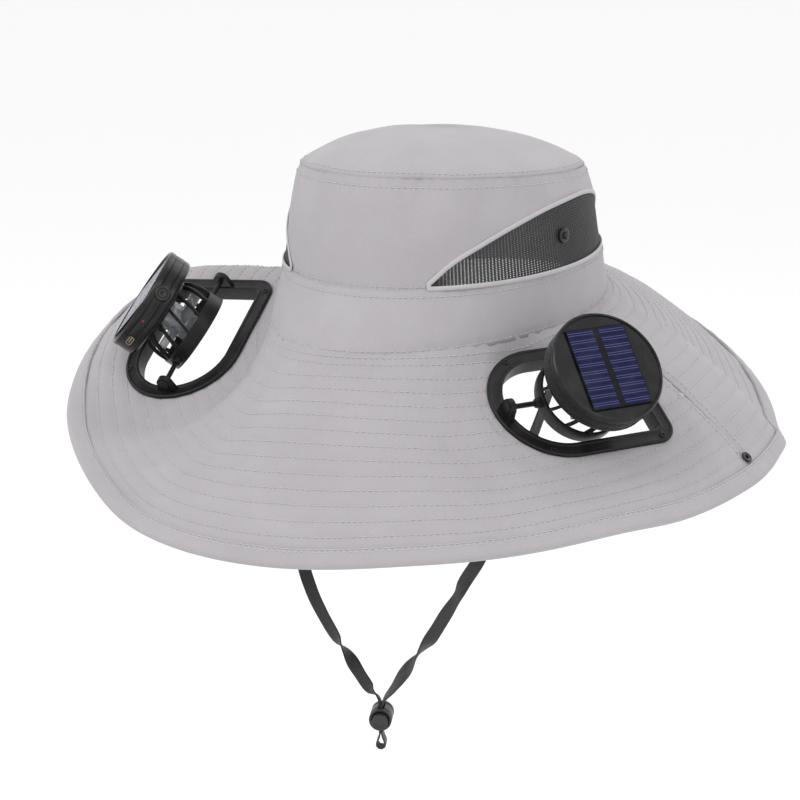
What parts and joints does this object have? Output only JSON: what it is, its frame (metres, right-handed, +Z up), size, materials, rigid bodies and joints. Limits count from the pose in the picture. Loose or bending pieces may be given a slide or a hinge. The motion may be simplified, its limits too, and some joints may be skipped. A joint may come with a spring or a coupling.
{
  "type": "solar fan hat",
  "caption": "Wide-brimmed cloth sun hat with net side vents, tilting solar-powered fans set in the brim, and a chin strap with a spring cord lock.",
  "frame": {"origin": "middle of the crown's opening, at the seam of crown and brim, where the hat sits on a head", "axes": "+Z up, the hat's front towards -Y, the wearer's right towards -X"},
  "size_m": [0.4041, 0.4409, 0.3445],
  "materials": {
    "cloth": "matt plain-weave cotton, warm light grey",
    "net": "open polyester net, black",
    "black_plastic": "satin black moulded plastic",
    "socket_metal": "thin bright metal shell",
    "solar_cells": "glossy resin over dark blue cells",
    "clear_plastic": "clear moulded plastic",
    "strap": "flat woven polyester ribbon, black"
  },
  "bodies": {
    "hat": {"crown_band": "cloth", "crown_wall": "cloth", "crown_tip": "cloth", "net_left": "net", "net_right": "net", "crown_stud_left": "black_plastic", "crown_stud_right": "black_plastic", "brim_front": "cloth", "brim_back": "cloth", "brim_binding": "cloth", "snap_left": "black_plastic", "snap_right": "black_plastic", "flange_left": "black_plastic", "flange_right": "black_plastic", "clamp_ring_left": "black_plastic", "clamp_ring_right": "black_plastic", "chin_strap": "strap", "cord_lock_body": "black_plastic"},
    "fan_left": {"cage_left": "black_plastic", "puck_left": "black_plastic", "usb_socket_left": "socket_metal", "solar_panel_left": "solar_cells"},
    "fan_right": {"cage_right": "black_plastic", "puck_right": "black_plastic", "usb_socket_right": "socket_metal", "solar_panel_right": "solar_cells"},
    "blades_left": {"rotor_left": "clear_plastic"},
    "blades_right": {"rotor_right": "clear_plastic"},
    "button_left": {"power_button_left": "black_plastic"},
    "button_right": {"power_button_right": "black_plastic"},
    "lock_plunger": {"cord_lock_plunger": "black_plastic"}
  },
  "joints": [
    {"name": "tilt_left", "type": "hinge", "parent": "hat", "child": "fan_left", "pos_m": [-0.12137, -0.07058, -0.0202], "axis": [0.1817, -0.8089, -0.5591], "range_deg": [-42, 0]},
    {"name": "tilt_right", "type": "hinge", "parent": "hat", "child": "fan_right", "pos_m": [0.11682, -0.04557, -0.02911], "axis": [0.4441, 0.8957, 0.0204], "range_deg": [-15, 23]},
    {"name": "spin_left", "type": "hinge", "parent": "fan_left", "child": "blades_left", "pos_m": [-0.12137, -0.07058, -0.0202], "axis": [-0.6267, -0.5334, 0.568], "continuous": true},
    {"name": "spin_right", "type": "hinge", "parent": "fan_right", "child": "blades_right", "pos_m": [0.11682, -0.04557, -0.02911], "axis": [0.6979, -0.3601, 0.619], "continuous": true},
    {"name": "press_left", "type": "slide", "parent": "fan_left", "child": "button_left", "axis": [-0.7707, 0.5322, -0.3505], "range_m": [0, 0.0007], "stiffness_N_per_m": 1200, "springref_m": -0.0006},
    {"name": "press_right", "type": "slide", "parent": "fan_right", "child": "button_right", "axis": [0.3545, -0.5772, -0.7356], "range_m": [0, 0.0007], "stiffness_N_per_m": 1200, "springref_m": -0.0006},
    {"name": "squeeze_lock", "type": "slide", "parent": "hat", "child": "lock_plunger", "axis": [-0.5, 0.866, 0], "range_m": [0, 0.0024], "stiffness_N_per_m": 900, "springref_m": -0.0015}
  ]
}
